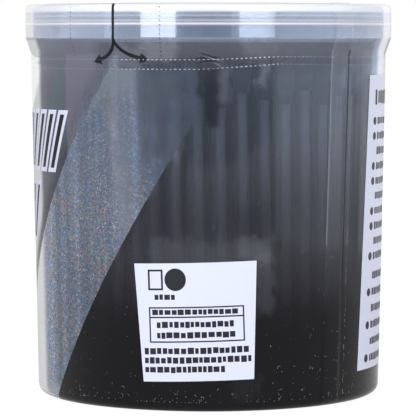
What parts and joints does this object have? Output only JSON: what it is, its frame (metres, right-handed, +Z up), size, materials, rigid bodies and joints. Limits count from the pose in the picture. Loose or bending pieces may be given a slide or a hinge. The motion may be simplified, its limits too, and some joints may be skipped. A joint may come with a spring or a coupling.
{
  "type": "cotton swab tub",
  "caption": "Round clear tub of upright black cotton swabs with a press-on lid, sealed in a printed shrink film.",
  "frame": {"origin": "centre of the foot ring, on the surface that the tub stands on", "axes": "+Z up along the tub's axis; the side with the square white panel faces -Y; +X is to that side's right"},
  "size_m": [0.082, 0.082, 0.0869],
  "materials": {
    "tub_clear": "clear moulded polystyrene, glossy",
    "lid_clear": "clear moulded polystyrene, glossy",
    "stem_paper": "black rolled paper, matt",
    "tip_cotton": "black wound cotton",
    "film_smoke": "glossy shrink film with a smoke to black printed gradient",
    "ink_silver": "fine glittering silver ink",
    "ink_white": "white printed field",
    "ink_black": "black printed marks"
  },
  "bodies": {
    "root": {"tub": "tub_clear", "lid": "lid_clear", "swab_stems": "stem_paper", "lower_tips": "tip_cotton", "upper_tips": "tip_cotton", "shrink_film": "film_smoke", "silver_band": "ink_silver", "white_print": "ink_white", "black_print": "ink_black"}
  },
  "joints": []
}
